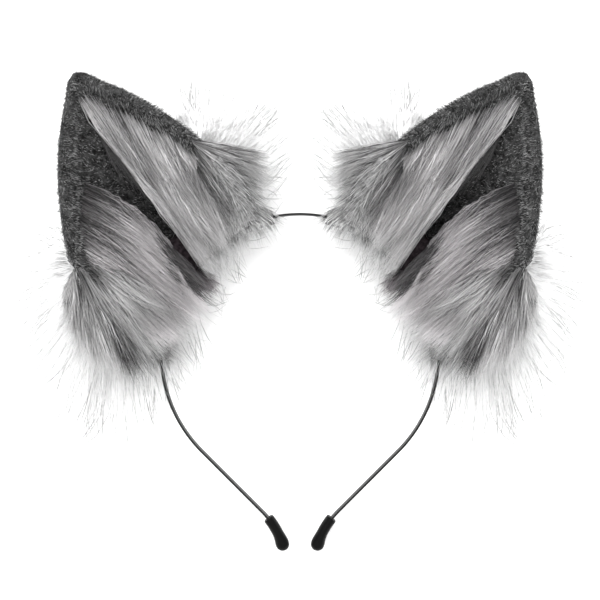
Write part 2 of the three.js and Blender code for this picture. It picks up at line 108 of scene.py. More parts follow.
def grey(level, warmth=0):
    """A near grey from its level on a screen, 0 to 255, as the linear colour that shaders use."""
    red, green, blue = (max(level + shift, 0) / 255 for shift in (warmth, 0, warmth / 2))
    return (red**2.2, green**2.2, blue**2.2, 1.0)


def new_material(name, **shader):
    """A material with a plain Principled shader, whose own sockets take the values given."""
    material = bpy.data.materials.new(name)
    material.use_nodes = True
    surface = material.node_tree.nodes["Principled BSDF"]
    for socket, value in shader.items():
        surface.inputs[socket.replace("_", " ")].default_value = value
    return material, material.node_tree, surface


bpy.ops.object.select_all(action="DESELECT")
bpy.ops.mesh.primitive_plane_add(size=FLOOR_SIZE)
floor = bpy.context.object
floor.name = "floor"
floor_paint, _, _ = new_material("floor_paint", Roughness=0.9, Base_Color=grey(250))
floor.data.materials.append(floor_paint)

sky = bpy.data.worlds.new("sky")
sky.use_nodes = True
sky.node_tree.nodes["Background"].inputs["Color"].default_value = (1, 1, 1, 1)
sky.node_tree.nodes["Background"].inputs["Strength"].default_value = SKY_STRENGTH
bpy.context.scene.world = sky
bpy.context.scene.view_settings.view_transform = "Standard"

lamp = bpy.data.objects.new("lamp", bpy.data.lights.new("lamp", "AREA"))
bpy.context.scene.collection.objects.link(lamp)
lamp.data.size = LAMP_SIZE
lamp.data.energy = LAMP_POWER
lamp.location = LAMP_PLACE
lamp.rotation_euler = (LAMP_AIM - lamp.location).to_track_quat("-Z", "Y").to_euler()


# Hoop: one flat strip of spring steel, 5 mm wide, bent on edge to a round crown with straight legs
# that turn down into the caps. Its corners are rolled round; its two narrow edges have a painted
# dark reflection. One half is spun from the strip's section, and the other half is its mirror
# image.
ROUND_HALF = math.radians(135)
LEG_LENGTH = 0.0375
LEG_BEND_RADIUS = 0.037
LEG_BEND = 0.013 / LEG_BEND_RADIUS  # angle of the bend, of which the last part is inside the cap
LEG_LEAN = math.pi - ROUND_HALF  # of the straight leg, from the upright
CORNER_ROUND = 0.00014
PAINTED_EDGE_FACING = 0.35  # faces that look more than this to the front or back are the narrow edges, with a painted dark reflection


def lay_down(piece):
    """Lays a piece that was made as worn down, in its mesh."""
    piece.data.transform(worn @ piece.matrix_world)
    piece.matrix_world = Matrix.Identity(4)


def put_on(piece, node):
    """Makes the piece part of the headband, in the place of one of its solids."""
    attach(piece, "root")
    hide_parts(node)


def new_group(name, inputs, outputs):
    """A shader node group with named sockets of the kinds given, and what comes into it."""
    group = bpy.data.node_groups.new(name, "ShaderNodeTree")
    for way, sockets in (("INPUT", inputs), ("OUTPUT", outputs)):
        for socket, kind in sockets.items():
            group.interface.new_socket(socket, in_out=way, socket_type="NodeSocket" + kind)
    return group, add_node(group, "NodeGroupInput").outputs


bpy.ops.object.select_all(action="DESELECT")
bpy.ops.mesh.primitive_plane_add(size=1, rotation=(0, math.pi / 2, 0))
hoop = bpy.context.object
hoop.name = "steel_hoop"
bpy.ops.object.transform_apply(location=False, rotation=True, scale=False)
hoop.data.transform(
    Matrix.Translation((0, 0, HOOP_RADIUS)) @ Matrix.Diagonal((1, STRIP_WIDTH, STRIP_THICKNESS, 1))
)
bpy.ops.object.mode_set(mode="EDIT")
bpy.ops.mesh.select_all(action="SELECT")
bpy.ops.mesh.bevel(offset=CORNER_ROUND, segments=3, affect="VERTICES")
bpy.ops.mesh.spin(steps=80, angle=ROUND_HALF, center=(0, 0, 0), axis=(0, 1, 0))
leg = Vector((math.sin(LEG_LEAN), 0, -math.cos(LEG_LEAN)))
bpy.ops.mesh.extrude_region_move(TRANSFORM_OT_translate={"value": leg * LEG_LENGTH})
leg_end = Vector((-math.sin(ROUND_HALF), 0, math.cos(ROUND_HALF))) * HOOP_RADIUS + leg * LEG_LENGTH
bend_centre = leg_end + Vector((leg.z, 0, -leg.x)) * LEG_BEND_RADIUS
bpy.ops.mesh.spin(steps=12, angle=-LEG_BEND, center=bend_centre, axis=(0, 1, 0))
bpy.ops.mesh.select_all(action="DESELECT")
bpy.ops.object.mode_set(mode="OBJECT")
for face in hoop.data.polygons:
    face.select = abs(face.center.x) < 1e-6 and abs(face.normal.x) > 0.9
bpy.ops.object.mode_set(mode="EDIT")
bpy.ops.mesh.delete(type="ONLY_FACE")
bpy.ops.mesh.select_all(action="SELECT")
bpy.ops.mesh.symmetrize(direction="NEGATIVE_X")
bpy.ops.mesh.normals_make_consistent(inside=False)
bpy.ops.object.mode_set(mode="OBJECT")

# Fine grain between two greys, for the steel and the rubber.
fine_grain, given = new_group(
    "fine_grain",
    {"Place": "Vector", "Scale": "Float", "Detail": "Float", "Dark": "Color", "Light": "Color"},
    {"Color": "Color", "Height": "Float"},
)
grain = add_node(
    fine_grain,
    "ShaderNodeTexNoise",
    {"Vector": given["Place"], "Scale": given["Scale"], "Detail": given["Detail"]},
).outputs["Fac"]
tinted = add_node(
    fine_grain,
    "ShaderNodeMix",
    {0: grain, 6: given["Dark"], 7: given["Light"]},
    data_type="RGBA",
).outputs[2]
add_node(fine_grain, "NodeGroupOutput", {"Color": tinted, "Height": grain})


def grained_material(name, scale, detail, dark, light, **shader):
    """A material with a fine grain between two greys, and the height of its grain."""
    material, tree, surface = new_material(name, **shader)
    grain = add_node(
        tree,
        "ShaderNodeGroup",
        {
            "Place": add_node(tree, "ShaderNodeTexCoord").outputs["Object"],
            "Scale": scale,
            "Detail": detail,
            "Dark": dark,
            "Light": light,
        },
        node_tree=fine_grain,
    ).outputs
    tree.links.new(grain["Color"], surface.inputs["Base Color"])
    return material, tree, surface, grain["Height"]


steel, *_ = grained_material(
    "spring_steel",
    900.0,
    3.0,
    grey(96),
    grey(150),
    Metallic=1.0,
    Roughness=0.3,
    Specular_Tint=grey(140),
)
# Dark steel for the strip's narrow edges: a painted dark reflection.
dark_reflection_steel, *_ = grained_material(
    "dark_reflection_steel", 1400.0, 2.0, grey(14), grey(44), Metallic=0.8, Roughness=0.42
)
hoop.data.materials.append(steel)
hoop.data.materials.append(dark_reflection_steel)
# The faces of the narrow edges take the dark steel, a painted dark reflection.
for face in hoop.data.polygons:
    face.material_index = 1 if abs(face.normal.y) > PAINTED_EDGE_FACING else 0
lay_down(hoop)
bpy.ops.object.shade_smooth_by_angle(angle=math.radians(35))
put_on(hoop, "hoop")


# End caps: a black rubber sleeve on each leg, 16 mm long, oval, with a thicker round end. It is one
# oval spun along the leg's bend and then swelled and closed along its length.
CAP_START = 0.004 / LEG_BEND_RADIUS  # angle of the bend above the cap
CAP_TURN = 0.016 / LEG_BEND_RADIUS
CAP_DEPTH = 0.0069
CAP_THICKNESS = 0.0047
BULB_SWELL = 1.255
BULB_FROM, BULB_FULL = 0.45, 0.75  # shares of the cap's length, as are the next two
END_ROUND_FROM = 0.82
LIP_LENGTH = 0.03
LIP_CLOSED = 0.9
END_CLOSED = 0.02


def other_side(piece):
    """The same piece mirrored for the other ear."""
    twin = bpy.data.objects.new(piece.name.replace("left", "right"), piece.data.copy())
    bpy.context.scene.collection.objects.link(twin)
    twin.data.name = twin.name
    twin.data.transform(Matrix.Diagonal((-1, 1, 1, 1)))
    twin.data.flip_normals()
    return twin


bpy.ops.object.select_all(action="DESELECT")
bpy.ops.mesh.primitive_circle_add(vertices=40, radius=0.5)
cap = bpy.context.object
cap.name = "rubber_cap_left"
cap.data.transform(
    Matrix.Translation(bend_centre)
    @ Matrix.Rotation(CAP_START + LEG_LEAN, 4, "Y")
    @ Matrix.Translation((0, 0, LEG_BEND_RADIUS))
    @ Matrix.Diagonal((1, CAP_DEPTH, CAP_THICKNESS, 1))
    @ Matrix.Rotation(math.pi / 2, 4, "Y")
)
bpy.ops.object.mode_set(mode="EDIT")
bpy.ops.mesh.select_all(action="SELECT")
bpy.ops.mesh.spin(steps=48, angle=-CAP_TURN, center=bend_centre, axis=(0, 1, 0))
bpy.ops.object.mode_set(mode="OBJECT")
for vertex in cap.data.vertices:
    arm = Vector((vertex.co.x, 0, vertex.co.z)) - bend_centre
    turned = math.atan2(arm.x, arm.z) - LEG_LEAN - CAP_START
    along = min(max(turned / CAP_TURN, 0), 1)
    middle = bend_centre + arm.normalized() * LEG_BEND_RADIUS
    in_bulb = min(max((along - BULB_FROM) / (BULB_FULL - BULB_FROM), 0), 1)
    swell = 1 + (BULB_SWELL - 1) * in_bulb**1.5
    lip = LIP_CLOSED + (1 - LIP_CLOSED) * min(along / LIP_LENGTH, 1) ** 0.5
    in_end = max((along - END_ROUND_FROM) / (1 - END_ROUND_FROM), 0)
    close = math.sqrt(max(1 - in_end**2, END_CLOSED**2))
    outward = arm.normalized() * (arm.length - LEG_BEND_RADIUS) * swell
    vertex.co = middle + (outward + Vector((0, vertex.co.y, 0))) * lip * close
bpy.ops.object.mode_set(mode="EDIT")
bpy.ops.mesh.select_all(action="SELECT")
bpy.ops.mesh.fill_holes(sides=0)
bpy.ops.mesh.normals_make_consistent(inside=False)
bpy.ops.object.mode_set(mode="OBJECT")

rubber, tree, surface, height = grained_material(
    "black_rubber", 700.0, 4.0, grey(8), grey(17), Roughness=0.48, Specular_IOR_Level=0.07
)
bump = add_node(tree, "ShaderNodeBump", {"Height": height, "Distance": 0.00006})
tree.links.new(bump.outputs["Normal"], surface.inputs["Normal"])
cap.data.materials.append(rubber)
lay_down(cap)
bpy.ops.object.shade_smooth_by_angle(angle=math.radians(50))
put_on(cap, "end_cap_left")
put_on(other_side(cap), "end_cap_right")


# Ear shells: the padded plush wall of each ear, cupped to the front, with its edge turned over into
# a soft rim. The wall is a grid wrapped round its section at each height, and the pile on it is
# thousands of short fibres.
EAR_PLACE = math.radians(55.4)
EAR_LEAN = math.radians(28.9)
EAR_HEIGHT = 0.1006
EAR_HALF_WIDTH = 0.0415
EAR_CUP = 0.023
EAR_FORWARD = 0.008
EAR_WALL = 0.003
RIM_WIDTH = 0.0085
RIM_RISE = 0.0036
RIM_ROLL = (EAR_WALL + RIM_RISE) / 2
PILE_LENGTH = 0.0023
PILE_WIDTHS = (0.00018, 0.00032)
PILE_SINK = 0.0002  # of its roots into the cloth
SHELL_PILE = 30000
SMALL_PATCH = 0.003  # patches in the tone of the pile
BROAD_PATCH = 0.012
LEAN_PATCH = 0.009  # patches in the way that the pile leans
MOTTLE_WAVES = 7
FLOOR_GAP = 0.0004  # the least height of fur that lies on the floor
PRESSED_DEPTH = 0.004  # fur that hangs deeper than this is pressed flat
# Height up the ear, then the shares of the width, the cup, the forward reach and the thickness.
EAR_SECTIONS = np.array(
    [
        (0.04, 0.93, 0.92, 1.0, 1.0),
        (0.2, 1.0, 1.0, 1.0, 1.0),
        (0.35, 0.96, 0.92, 0.95, 1.0),
        (0.5, 0.83, 0.73, 0.85, 1.0),
        (0.65, 0.66, 0.5, 0.7, 1.0),
        (0.8, 0.44, 0.27, 0.5, 1.0),
        (0.92, 0.22, 0.1, 0.3, 0.95),
        (0.975, 0.12, 0.03, 0.2, 0.75),
        (1.0, 0.015, 0.0, 0.18, 0.1),
    ]
)
WIDTH, CUP, FORWARD, THICK = 1, 2, 3, 4
foot = Vector((-math.sin(EAR_PLACE), 0, math.cos(EAR_PLACE))) * HOOP_RADIUS


def on_curve(table, column, at):
    """A column of a table at places between its rows, on a smooth curve through them."""
    at = np.asarray(at, float)
    places, values = table[:, 0], table[:, column]
    row = np.clip(np.searchsorted(places, at, side="right") - 1, 0, len(places) - 2)
    rows = np.arange(len(places))
    below, above = np.maximum(rows - 1, 0), np.minimum(rows + 1, len(places) - 1)
    slopes = (values[above] - values[below]) / (places[above] - places[below])
    span = places[row + 1] - places[row]
    t = np.clip((at - places[row]) / span, 0, 1)
    return (
        values[row] * (2 * t**3 - 3 * t**2 + 1)
        + slopes[row] * span * (t**3 - 2 * t**2 + t)
        + values[row + 1] * (3 * t**2 - 2 * t**3)
        + slopes[row + 1] * span * (t**3 - t**2)
    )


def on_ear(across, up, back):
    """Places given across the ear, up its axis and behind the hoop, in the worn frame."""
    across, up, back = np.broadcast_arrays(across, up, back)
    cos, sin = math.cos(EAR_LEAN), math.sin(EAR_LEAN)
    x = foot.x + across * cos - up * sin
    z = foot.z + across * sin + up * cos
    return np.stack((x, back, z), axis=-1)


def along_ear(across, up):
    """A direction given across the ear and up its axis, in the worn frame."""
    return on_ear(across, up, 0) - on_ear(0, 0, 0)


def ear_wall(height, share, offset):
    """Places on the wall at a height: across the ear, and how far they lie behind the hoop."""
    thick = on_curve(EAR_SECTIONS, THICK, height)
    half = EAR_HALF_WIDTH * on_curve(EAR_SECTIONS, WIDTH, height)
    edge = np.maximum(half - RIM_ROLL * thick, 0.00005)
    cup = EAR_CUP * on_curve(EAR_SECTIONS, CUP, height)
    front = -EAR_FORWARD * on_curve(EAR_SECTIONS, FORWARD, height)
    slant = np.hypot(2 * cup * share, edge)
    across = share * edge + offset * 2 * cup * share / slant
    back = front + cup * (1 - share**2) + offset * edge / slant
    return np.stack((across, back), axis=-1)


def rim_share(height):
    """The share of the way to the edge at which the rim begins."""
    half = EAR_HALF_WIDTH * on_curve(EAR_SECTIONS, WIDTH, height)
    edge = np.maximum(half - RIM_ROLL * on_curve(EAR_SECTIONS, THICK, height), 0.00005)
    return np.clip((half - RIM_WIDTH) / edge, 0.02, 0.97)


def shell_ring(height, grow=0.0):
    """The wall's closed section at one height, from the middle of the back round to it again."""
    thick = on_curve(EAR_SECTIONS, THICK, height)
    wall, rim = EAR_WALL / 2 * thick + grow, (EAR_WALL / 2 + RIM_RISE) * thick + grow
    inner = rim_share(height)
    back = ear_wall(height, np.linspace(0, 1, 13), wall)
    outward = ear_wall(height, 1.0, 1.0) - ear_wall(height, 1.0, 0.0)
    turn = np.linspace(0, math.pi, 10)[1:-1, None]
    side = np.array((outward[1], -outward[0]))
    middle = ear_wall(height, 1.0, (wall - rim) / 2)
    edge = middle + (np.cos(turn) * outward + np.sin(turn) * side) * (RIM_ROLL * thick + grow)
    fall = np.linspace(0, 1, 10)
    step = 0.5 + 0.5 * np.cos(math.pi * fall**1.7)
    step = np.maximum(step, np.clip((height - 0.82) / 0.1, 0, 1))
    rise = wall + (rim - wall) * step
    front = ear_wall(height, 1 - (1 - inner) * fall, -rise)
    panel = ear_wall(height, np.linspace(inner, 0, 12)[1:], -rise[-1])
    half = np.concatenate((back, edge, front, panel))
    ring = np.concatenate((half, half[1:-1][::-1] * (-1, 1)))
    return on_ear(ring[:, 0], height * EAR_HEIGHT, ring[:, 1])


def wrapped_grid(name, rings):
    """A closed surface through rings of points, made from a grid joined up round the rings."""
    rows, columns = len(rings) - 1, rings.shape[1]
    bpy.ops.object.select_all(action="DESELECT")
    bpy.ops.mesh.primitive_grid_add(x_subdivisions=columns, y_subdivisions=rows, size=2)
    piece = bpy.context.object
    piece.name = piece.data.name = name
    flat = np.empty(len(piece.data.vertices) * 3, np.float32)
    piece.data.vertices.foreach_get("co", flat)
    place = (flat.reshape(-1, 3)[:, :2] + 1) / 2 * (columns, rows)
    column, row = np.rint(place).astype(int).T
    shaped = rings[row, column % columns]
    piece.data.vertices.foreach_set("co", shaped.astype(np.float32).ravel())
    bpy.ops.object.mode_set(mode="EDIT")
    bpy.ops.mesh.select_all(action="SELECT")
    bpy.ops.mesh.remove_doubles(threshold=0.000001)
    bpy.ops.mesh.fill_holes(sides=0)
    bpy.ops.mesh.normals_make_consistent(inside=False)
    bpy.ops.object.mode_set(mode="OBJECT")
    piece.data.shade_smooth()
    return piece


def sprinkled(piece, count, rng):
    """Random places on a piece's surface, and which way the surface faces there."""
    mesh = piece.data
    mesh.calc_loop_triangles()
    corners = np.empty(len(mesh.loop_triangles) * 3, np.int32)
    mesh.loop_triangles.foreach_get("vertices", corners)
    points = np.empty(len(mesh.vertices) * 3, np.float32)
    mesh.vertices.foreach_get("co", points)
    a, b, c = points.reshape(-1, 3)[corners].reshape(-1, 3, 3).transpose(1, 0, 2).astype(float)
    normal = np.cross(b - a, c - a)
    size = np.linalg.norm(normal, axis=1)
    pick = rng.choice(len(size), count, p=size / size.sum())
    u, v = rng.random((2, count, 1))
    u, v = np.where(u + v > 1, 1 - u, u), np.where(u + v > 1, 1 - v, v)
    places = a[pick] + u * (b - a)[pick] + v * (c - a)[pick]
    return places, normal[pick] / np.maximum(size[pick], 1e-12)[:, None]


def fibres(name, paths, width, level, tip, rng, taper=0.75):
    """Closed three-sided fibres as one mesh. The second axis of the paths runs along a fibre.

    The map "fibre" holds a random number for each fibre and how far along it a point is, and the
    map "tone" holds how light the fibre is and how much of the tip's colour its tip has.
    """
    count, points, _ = paths.shape
    rings = points - 1
    onward = np.gradient(paths, axis=1)
    onward /= np.maximum(np.linalg.norm(onward, axis=2, keepdims=True), 1e-12)
    side = np.cross(onward, rng.normal(size=(count, 1, 3)))
    side /= np.maximum(np.linalg.norm(side, axis=2, keepdims=True), 1e-12)
    other = np.cross(onward, side)
    along = np.linspace(0, 1, points)
    radius = (width[:, None] / 2 * (1 - taper * along[:-1] ** 2))[:, :, None, None]
    turn = (np.arange(3) * 2 * math.pi / 3)[:, None]
    ring = paths[:, :rings, None] + radius * (
        np.cos(turn) * side[:, :rings, None] + np.sin(turn) * other[:, :rings, None]
    )
    vertices = np.concatenate((ring.reshape(count, rings * 3, 3), paths[:, -1:]), axis=1)
    each = rings * 3 + 1
    faces = []
    for k in range(rings - 1):
        for j in range(3):
            a, b = k * 3 + j, k * 3 + (j + 1) % 3
            faces.append((a, b, b + 3, a + 3))
    last = (rings - 1) * 3
    faces += [(last + j, last + (j + 1) % 3, each - 1) for j in range(3)]
    faces.append((0, 2, 1))
    corners = np.array([corner for face in faces for corner in face])
    sizes = np.array([len(face) for face in faces])
    loops = (np.arange(count)[:, None] * each + corners).ravel()
    starts = np.concatenate(([0], np.cumsum(np.tile(sizes, count))[:-1]))

    mesh = bpy.data.meshes.new(name)
    mesh.vertices.add(count * each)
    mesh.vertices.foreach_set("co", vertices.astype(np.float32).ravel())
    mesh.loops.add(len(loops))
    mesh.loops.foreach_set("vertex_index", loops.astype(np.int32))
    mesh.polygons.add(count * len(sizes))
    mesh.polygons.foreach_set("loop_start", starts.astype(np.int32))
    mesh.update(calc_edges=True)
    far = np.append(np.repeat(along[:-1], 3), 1)
    maps = {
        "fibre": (np.repeat(rng.random(count), each), np.tile(far, count)),
        "tone": (np.repeat(level, each), np.repeat(tip, each)),
    }
    for key, (u, v) in maps.items():
        pairs = np.stack((u[loops], v[loops]), axis=1).astype(np.float32)
        mesh.uv_layers.new(name=key).data.foreach_set("uv", pairs.ravel())
    mesh.shade_smooth()
    piece = bpy.data.objects.new(name, mesh)
    bpy.context.scene.collection.objects.link(piece)
    return piece


def mottle(places, size, rng):
    """A smooth random number from about -1 to 1 for each place, with patches of the size given."""
    total = np.zeros(len(places))
    for octave in (1, 2):
        for _ in range(MOTTLE_WAVES):
            wave = rng.normal(size=3) * octave * 2 * math.pi / size / 1.7
            total += np.sin(places @ wave + rng.uniform(0, 2 * math.pi)) / octave
    return total / 4


def pile(piece, count, length, base, rng, tone_rng):
    """Short fibres on a piece, brushed towards the ear's foot with patches that lean elsewhere.

    The base is how light they are, from 0 to 1, with small and large patches round it.
    """
    roots, facing = sprinkled(piece, count, rng)
    level = base + 0.3 * mottle(roots, SMALL_PATCH, tone_rng)
    level += 0.34 * tone_rng.normal(size=count)
    level = np.clip(level + 0.2 * mottle(roots, BROAD_PATCH, tone_rng), 0, 1)
    patches = [mottle(roots, LEAN_PATCH, np.random.default_rng(seed)) for seed in (1, 2, 3)]
    brushed = 0.5 * np.stack(patches, axis=1) + along_ear(0.3, -0.6)
    lean = 0.7 * facing + 0.9 * brushed + rng.normal(scale=0.25, size=roots.shape)
    lean += facing * np.maximum(0.3 - np.sum(lean * facing, axis=1, keepdims=True), 0)
    lean /= np.linalg.norm(lean, axis=1, keepdims=True)
    tall = length * rng.uniform(0.6, 1.15, count)[:, None]
    paths = np.stack((roots - facing * PILE_SINK, roots + lean * tall), axis=1)
    return fibres("nap", paths, rng.uniform(*PILE_WIDTHS, count), level, rng.random(count), rng)


def join_into(piece, *others):
    """Joins the other pieces into this one."""
    bpy.ops.object.select_all(action="DESELECT")
    for each in (piece, *others):
        each.select_set(True)
    bpy.context.view_layer.objects.active = piece
    bpy.ops.object.join()


def keep_above_floor(piece):
    """Lays fur that hangs below the floor on it."""
    flat = np.empty(len(piece.data.vertices) * 3, np.float32)
    piece.data.vertices.foreach_get("co", flat)
    height = flat[2::3]
    low = height < FLOOR_GAP
    height[low] = FLOOR_GAP * (1 + np.exp(np.minimum(height[low], 0) / PRESSED_DEPTH))
    piece.data.vertices.foreach_set("co", flat)
    piece.data.update()


# The colour along a fibre: darker near its root, then its own lightness, then the tip's colour.
fibre_colour, given = new_group(
    "fibre_colour",
    {"Dark": "Color", "Light": "Color", "Tip": "Color", "Root shade": "Float", "Tip from": "Float"},
    {"Color": "Color"},
)
strand = add_node(fibre_colour, "ShaderNodeUVMap", uv_map="fibre").outputs["UV"]
strand = add_node(fibre_colour, "ShaderNodeSeparateXYZ", {"Vector": strand}).outputs
tone = add_node(fibre_colour, "ShaderNodeUVMap", uv_map="tone").outputs["UV"]
tone = add_node(fibre_colour, "ShaderNodeSeparateXYZ", {"Vector": tone}).outputs
own = add_node(
    fibre_colour,
    "ShaderNodeMix",
    {0: tone["X"], 6: given["Dark"], 7: given["Light"]},
    data_type="RGBA",
).outputs[2]
from_root = add_node(
    fibre_colour,
    "ShaderNodeMapRange",
    {"Value": strand["Y"], "From Max": 0.35, "To Min": given["Root shade"]},
    interpolation_type="SMOOTHSTEP",
).outputs[0]
shaded = add_node(
    fibre_colour,
    "ShaderNodeVectorMath",
    {0: own, 3: from_root},
    operation="SCALE",
).outputs[0]
near_tip = add_node(
    fibre_colour,
    "ShaderNodeMapRange",
    {"Value": strand["Y"], "From Min": given["Tip from"], "To Max": tone["Y"]},
    interpolation_type="SMOOTHSTEP",
).outputs[0]
dyed = add_node(
    fibre_colour,
    "ShaderNodeMix",
    {0: near_tip, 6: shaded, 7: given["Tip"]},
    data_type="RGBA",
).outputs[2]
add_node(fibre_colour, "NodeGroupOutput", {"Color": dyed})


def fibre_material(name, dark, light, tip, root_shade, tip_from, roughness=0.55):
    """A material for fibres, which reads its colours through the group above."""
    material, tree, surface = new_material(name, Roughness=roughness, Specular_IOR_Level=0.3)
    colour = add_node(
        tree,
        "ShaderNodeGroup",
        {"Dark": dark, "Light": light, "Tip": tip, "Root shade": root_shade, "Tip from": tip_from},
        node_tree=fibre_colour,
    )
    tree.links.new(colour.outputs["Color"], surface.inputs["Base Color"])
    return material


# Mottled plush cloth, as it shows under the pile: broad patches and a finer nap.
plush_mottle, given = new_group(
    "plush_mottle",
    {"Place": "Vector", "Dark": "Color", "Light": "Color"},
    {"Color": "Color", "Height": "Float"},
)
patch, fine_nap = (
    add_node(
        plush_mottle,
        "ShaderNodeTexNoise",
        {"Vector": given["Place"], "Scale": scale, "Detail": detail},
    ).outputs["Fac"]
    for scale, detail in ((380.0, 2.0), (1300.0, 3.0))
)
both = add_node(plush_mottle, "ShaderNodeMath", {0: patch, 1: fine_nap}, operation="ADD").outputs[0]
spread = add_node(
    plush_mottle, "ShaderNodeMapRange", {"Value": both, "From Min": 0.78, "From Max": 1.22}
).outputs[0]
tinted = add_node(
    plush_mottle,
    "ShaderNodeMix",
    {0: spread, 6: given["Dark"], 7: given["Light"]},
    data_type="RGBA",
).outputs[2]
add_node(plush_mottle, "NodeGroupOutput", {"Color": tinted, "Height": both})


def cloth_material(name, dark, light):
    """A material for plush cloth, mottled by the group above."""
    material, tree, surface = new_material(name, Roughness=0.95, Specular_IOR_Level=0.1)
    place = add_node(tree, "ShaderNodeTexCoord").outputs["Object"]
    cloth = add_node(
        tree,
        "ShaderNodeGroup",
        {"Place": place, "Dark": dark, "Light": light},
        node_tree=plush_mottle,
    ).outputs
    tree.links.new(cloth["Color"], surface.inputs["Base Color"])
    bump = add_node(tree, "ShaderNodeBump", {"Height": cloth["Height"], "Distance": 0.0006})
    tree.links.new(bump.outputs["Normal"], surface.inputs["Normal"])
    return material


tone_rng = np.random.default_rng(11)
heights = 0.04 + 0.96 * (1 - (1 - np.linspace(0, 1, 49)) ** 1.5)
shell = wrapped_grid("plush_shell_left", np.array([shell_ring(height) for height in heights]))
shell.data.materials.append(cloth_material("shell_cloth", grey(24), grey(68)))
nap = pile(shell, SHELL_PILE, PILE_LENGTH, 0.3, np.random.default_rng(12), tone_rng)
nap.data.materials.append(
    fibre_material("shell_pile", grey(10), grey(166), grey(190), 0.5, 0.3, roughness=0.8)
)
join_into(shell, nap)
lay_down(shell)
keep_above_floor(shell)
put_on(shell, "ear_shell_left")
twin = other_side(shell)
put_on(twin, "ear_shell_right")


# Linings: a plush panel 2 mm thick that fills the inside of each ear, edge to edge between the
# rims. It is a thin closed section at each height, with a shorter nap.
LINING_THICKNESS = 0.002
LINING_GAP = 0.0003  # to the shell's wall
LINING_FACE = EAR_WALL / 2 + LINING_GAP + LINING_THICKNESS  # from the middle of the wall
LINING_UNDER_RIM = 0.06  # share of the width that goes under the rim
LINING_PILE = 10000
LINING_PILE_LENGTH = 0.0019


def lining_ring(height):
    """The panel's closed section at one height."""
    share = np.linspace(-1, 1, 25) * np.minimum(rim_share(height) + LINING_UNDER_RIM, 0.98)
    behind = ear_wall(height, share, -EAR_WALL / 2 - LINING_GAP)
    before = ear_wall(height, share, -LINING_FACE)
    ring = np.concatenate((behind, before[::-1]))
    return on_ear(ring[:, 0], height * EAR_HEIGHT, ring[:, 1])


lining = wrapped_grid(
    "plush_lining_left", np.array([lining_ring(height) for height in np.linspace(0.04, 0.9, 36)])
)
lining.data.materials.append(cloth_material("lining_cloth", grey(20), grey(64)))
nap = pile(lining, LINING_PILE, LINING_PILE_LENGTH, 0.4, np.random.default_rng(14), tone_rng)
nap.data.materials.append(
    fibre_material("lining_pile", grey(10), grey(170), grey(186), 0.5, 0.3, roughness=0.8)
)
join_into(lining, nap)
lay_down(lining)
put_on(lining, "ear_lining_left")
twin = other_side(lining)
put_on(twin, "ear_lining_right")


# Inner tufts: two bundles of long grey fur that start at the rims and come out over the foot of the
# ear. Each is a tapered fibre on a path between the rows of a table, gathered into locks.
TUFT_FORWARD = 0.013
TUFT_SAG = 0.004
TUFT_BODY = 0.005  # depth of a tuft from front to back
STRAY_BODY = 0.002
FIBRE_WIDTH = 0.00025
UPPER_FIBRES = 7500
LOWER_FIBRES = 6300
GAP_FIBRES = 1300
UPPER_STRAYS = 170
LOWER_STRAYS = 230


def lay_fur(table, count, rng, starts, lengths, body, locks, back_of=None, wild=0.02, points=4):
    """Paths of fibres between the roots and tips of a table, gathered into locks.

    A row has the root across, up and behind (shares of the ear, metres), the tip likewise, and how
    far the flow bows across. The fibres start and end at shares of the way from root to tip.
    """
    rows = np.array(table, float)
    last = len(rows) - 1
    lock_place = rng.uniform(0, last, locks)
    lock_start = rng.uniform(starts[0], starts[1], locks)
    lock_length = rng.uniform(lengths[0], lengths[1], locks)
    lock_bend = rng.normal(scale=0.02, size=locks)
    lock_drift = rng.normal(scale=0.35, size=locks)
    lock_tone = rng.normal(size=locks)
    lock_rise = rng.uniform(-0.5, 0.5, locks)
    band_tone = rng.normal(size=3 * last)
    lock_tone += 0.8 * np.interp(lock_place, np.linspace(0, last, 3 * last), band_tone)
    lock = rng.integers(0, locks, count)
    place = lock_place[lock] + rng.normal(scale=0.28, size=count)
    start = np.clip(lock_start[lock] + rng.normal(scale=0.04, size=count), -0.05, 0.95)
    end = start + lock_length[lock] * rng.uniform(0.7, 1.1, count)
    end = np.minimum(end, 1 + rng.normal(scale=0.055, size=count))
    along = np.linspace(0, 1, points)
    way = start[:, None] + (end - start)[:, None] * along
    gathered = lock_place[lock] + 0.5 * (place - lock_place[lock]) + lock_drift[lock]
    across_rows = place[:, None] + (gathered - place)[:, None] * along**1.5
    across_rows = last - np.abs(last - np.abs(across_rows))
    value = [np.interp(across_rows, np.arange(last + 1), rows[:, i]) for i in range(7)]
    bow = value[6] * 4 * way * (1 - way)
    bend = (lock_bend[lock] + rng.normal(scale=0.008, size=count))[:, None]
    across = value[0] + (value[3] - value[0]) * way + bow + bend * np.sin(math.pi * along)
    up = value[1] + (value[4] - value[1]) * way
    frizz = rng.normal(scale=wild, size=(2, count, 1)) * along**2
    across = (across + frizz[0]) * EAR_HALF_WIDTH
    up = up * EAR_HEIGHT + frizz[1] * EAR_HALF_WIDTH
    if back_of is None:
        back = value[2] + (value[5] - value[2]) * way
    else:
        back = back_of(value, way)
    depth = rng.uniform(0, 1, count)[:, None]
    rise = (0.35 - depth * along**0.8 + lock_rise[lock][:, None] * along**0.5) * body
    spread = rng.normal(scale=0.12, size=(count, 1)) * body
    return on_ear(across, up, back + rise + spread), lock_tone[lock], start, end, place


def tuft_back(value, way):
    """A tuft leaves the lining's face, sinks a little and comes forward over the foot."""
    height = np.clip(value[1], 0.04, 0.95)
    half = EAR_HALF_WIDTH * on_curve(EAR_SECTIONS, WIDTH, height)
    share = np.clip(value[0] * EAR_HALF_WIDTH / np.maximum(half - RIM_ROLL, 0.001), -1, 1)
    lining_face = ear_wall(height, share, -LINING_FACE)[..., 1]
    return lining_face + (-TUFT_FORWARD - lining_face) * way + TUFT_SAG * np.sin(way * math.pi)


